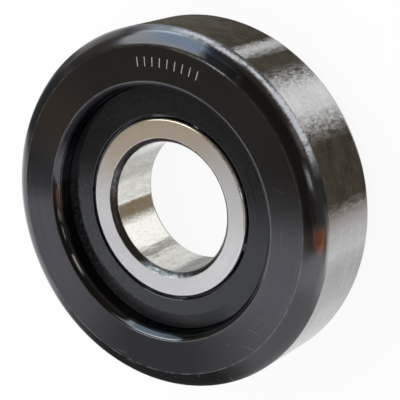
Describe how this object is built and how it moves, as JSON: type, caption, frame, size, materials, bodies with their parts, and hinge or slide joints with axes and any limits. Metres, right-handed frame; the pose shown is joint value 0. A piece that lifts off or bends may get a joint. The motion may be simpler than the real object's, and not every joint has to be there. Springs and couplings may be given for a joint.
{
  "type": "forklift mast roller",
  "caption": "Thick-walled blackened steel roller with rounded shoulders, turning on a sealed ball bearing whose narrower inner ring slides onto a stub shaft.",
  "frame": {"origin": "centre of the bore at mid-width", "axes": "+Z along the bore and roller axis, out of the front face"},
  "size_m": [0.152, 0.152, 0.045],
  "materials": {
    "blackened_steel": "satin",
    "ground_bearing_steel": "satin",
    "seal_rubber": "matte",
    "cage_steel": "satin",
    "rivet_steel": "satin",
    "ball_steel": "polished"
  },
  "bodies": {
    "inner_ring": {"inner_ring": "ground_bearing_steel"},
    "roller": {"outer_ring": "blackened_steel", "seal_front": "seal_rubber", "seal_rear": "seal_rubber"},
    "cage": {"cage_half_front": "cage_steel", "cage_half_rear": "cage_steel", "cage_rivet_1": "rivet_steel", "cage_rivet_2": "rivet_steel", "cage_rivet_3": "rivet_steel", "cage_rivet_4": "rivet_steel", "cage_rivet_5": "rivet_steel", "cage_rivet_6": "rivet_steel", "cage_rivet_7": "rivet_steel", "cage_rivet_8": "rivet_steel"},
    "ball_1": {"ball_1": "ball_steel"},
    "ball_2": {"ball_2": "ball_steel"},
    "ball_3": {"ball_3": "ball_steel"},
    "ball_4": {"ball_4": "ball_steel"},
    "ball_5": {"ball_5": "ball_steel"},
    "ball_6": {"ball_6": "ball_steel"},
    "ball_7": {"ball_7": "ball_steel"},
    "ball_8": {"ball_8": "ball_steel"}
  },
  "joints": [
    {"name": "roller_spin", "type": "hinge", "parent": "inner_ring", "child": "roller", "pos_m": [0, 0, 0], "axis": [0, 0, 1], "continuous": true},
    {"name": "cage_orbit", "type": "hinge", "parent": "inner_ring", "child": "cage", "pos_m": [0, 0, 0], "axis": [0, 0, 1], "continuous": true},
    {"name": "ball_1_spin", "type": "hinge", "parent": "cage", "child": "ball_1", "pos_m": [0.04375, 0, 0], "axis": [0, 0, 1], "continuous": true},
    {"name": "ball_2_spin", "type": "hinge", "parent": "cage", "child": "ball_2", "pos_m": [0.03094, 0.03094, 0], "axis": [0, 0, 1], "continuous": true},
    {"name": "ball_3_spin", "type": "hinge", "parent": "cage", "child": "ball_3", "pos_m": [0, 0.04375, 0], "axis": [0, 0, 1], "continuous": true},
    {"name": "ball_4_spin", "type": "hinge", "parent": "cage", "child": "ball_4", "pos_m": [-0.03094, 0.03094, 0], "axis": [0, 0, 1], "continuous": true},
    {"name": "ball_5_spin", "type": "hinge", "parent": "cage", "child": "ball_5", "pos_m": [-0.04375, 0, 0], "axis": [0, 0, 1], "continuous": true},
    {"name": "ball_6_spin", "type": "hinge", "parent": "cage", "child": "ball_6", "pos_m": [-0.03094, -0.03094, 0], "axis": [0, 0, 1], "continuous": true},
    {"name": "ball_7_spin", "type": "hinge", "parent": "cage", "child": "ball_7", "pos_m": [0, -0.04375, 0], "axis": [0, 0, 1], "continuous": true},
    {"name": "ball_8_spin", "type": "hinge", "parent": "cage", "child": "ball_8", "pos_m": [0.03094, -0.03094, 0], "axis": [0, 0, 1], "continuous": true}
  ],
  "couplings": [
    {"joint": "cage_orbit", "follows": "roller_spin", "ratio": 0.61793},
    {"joint": "ball_1_spin", "follows": "roller_spin", "ratio": 2.0019},
    {"joint": "ball_2_spin", "follows": "roller_spin", "ratio": 2.0019},
    {"joint": "ball_3_spin", "follows": "roller_spin", "ratio": 2.0019},
    {"joint": "ball_4_spin", "follows": "roller_spin", "ratio": 2.0019},
    {"joint": "ball_5_spin", "follows": "roller_spin", "ratio": 2.0019},
    {"joint": "ball_6_spin", "follows": "roller_spin", "ratio": 2.0019},
    {"joint": "ball_7_spin", "follows": "roller_spin", "ratio": 2.0019},
    {"joint": "ball_8_spin", "follows": "roller_spin", "ratio": 2.0019}
  ]
}
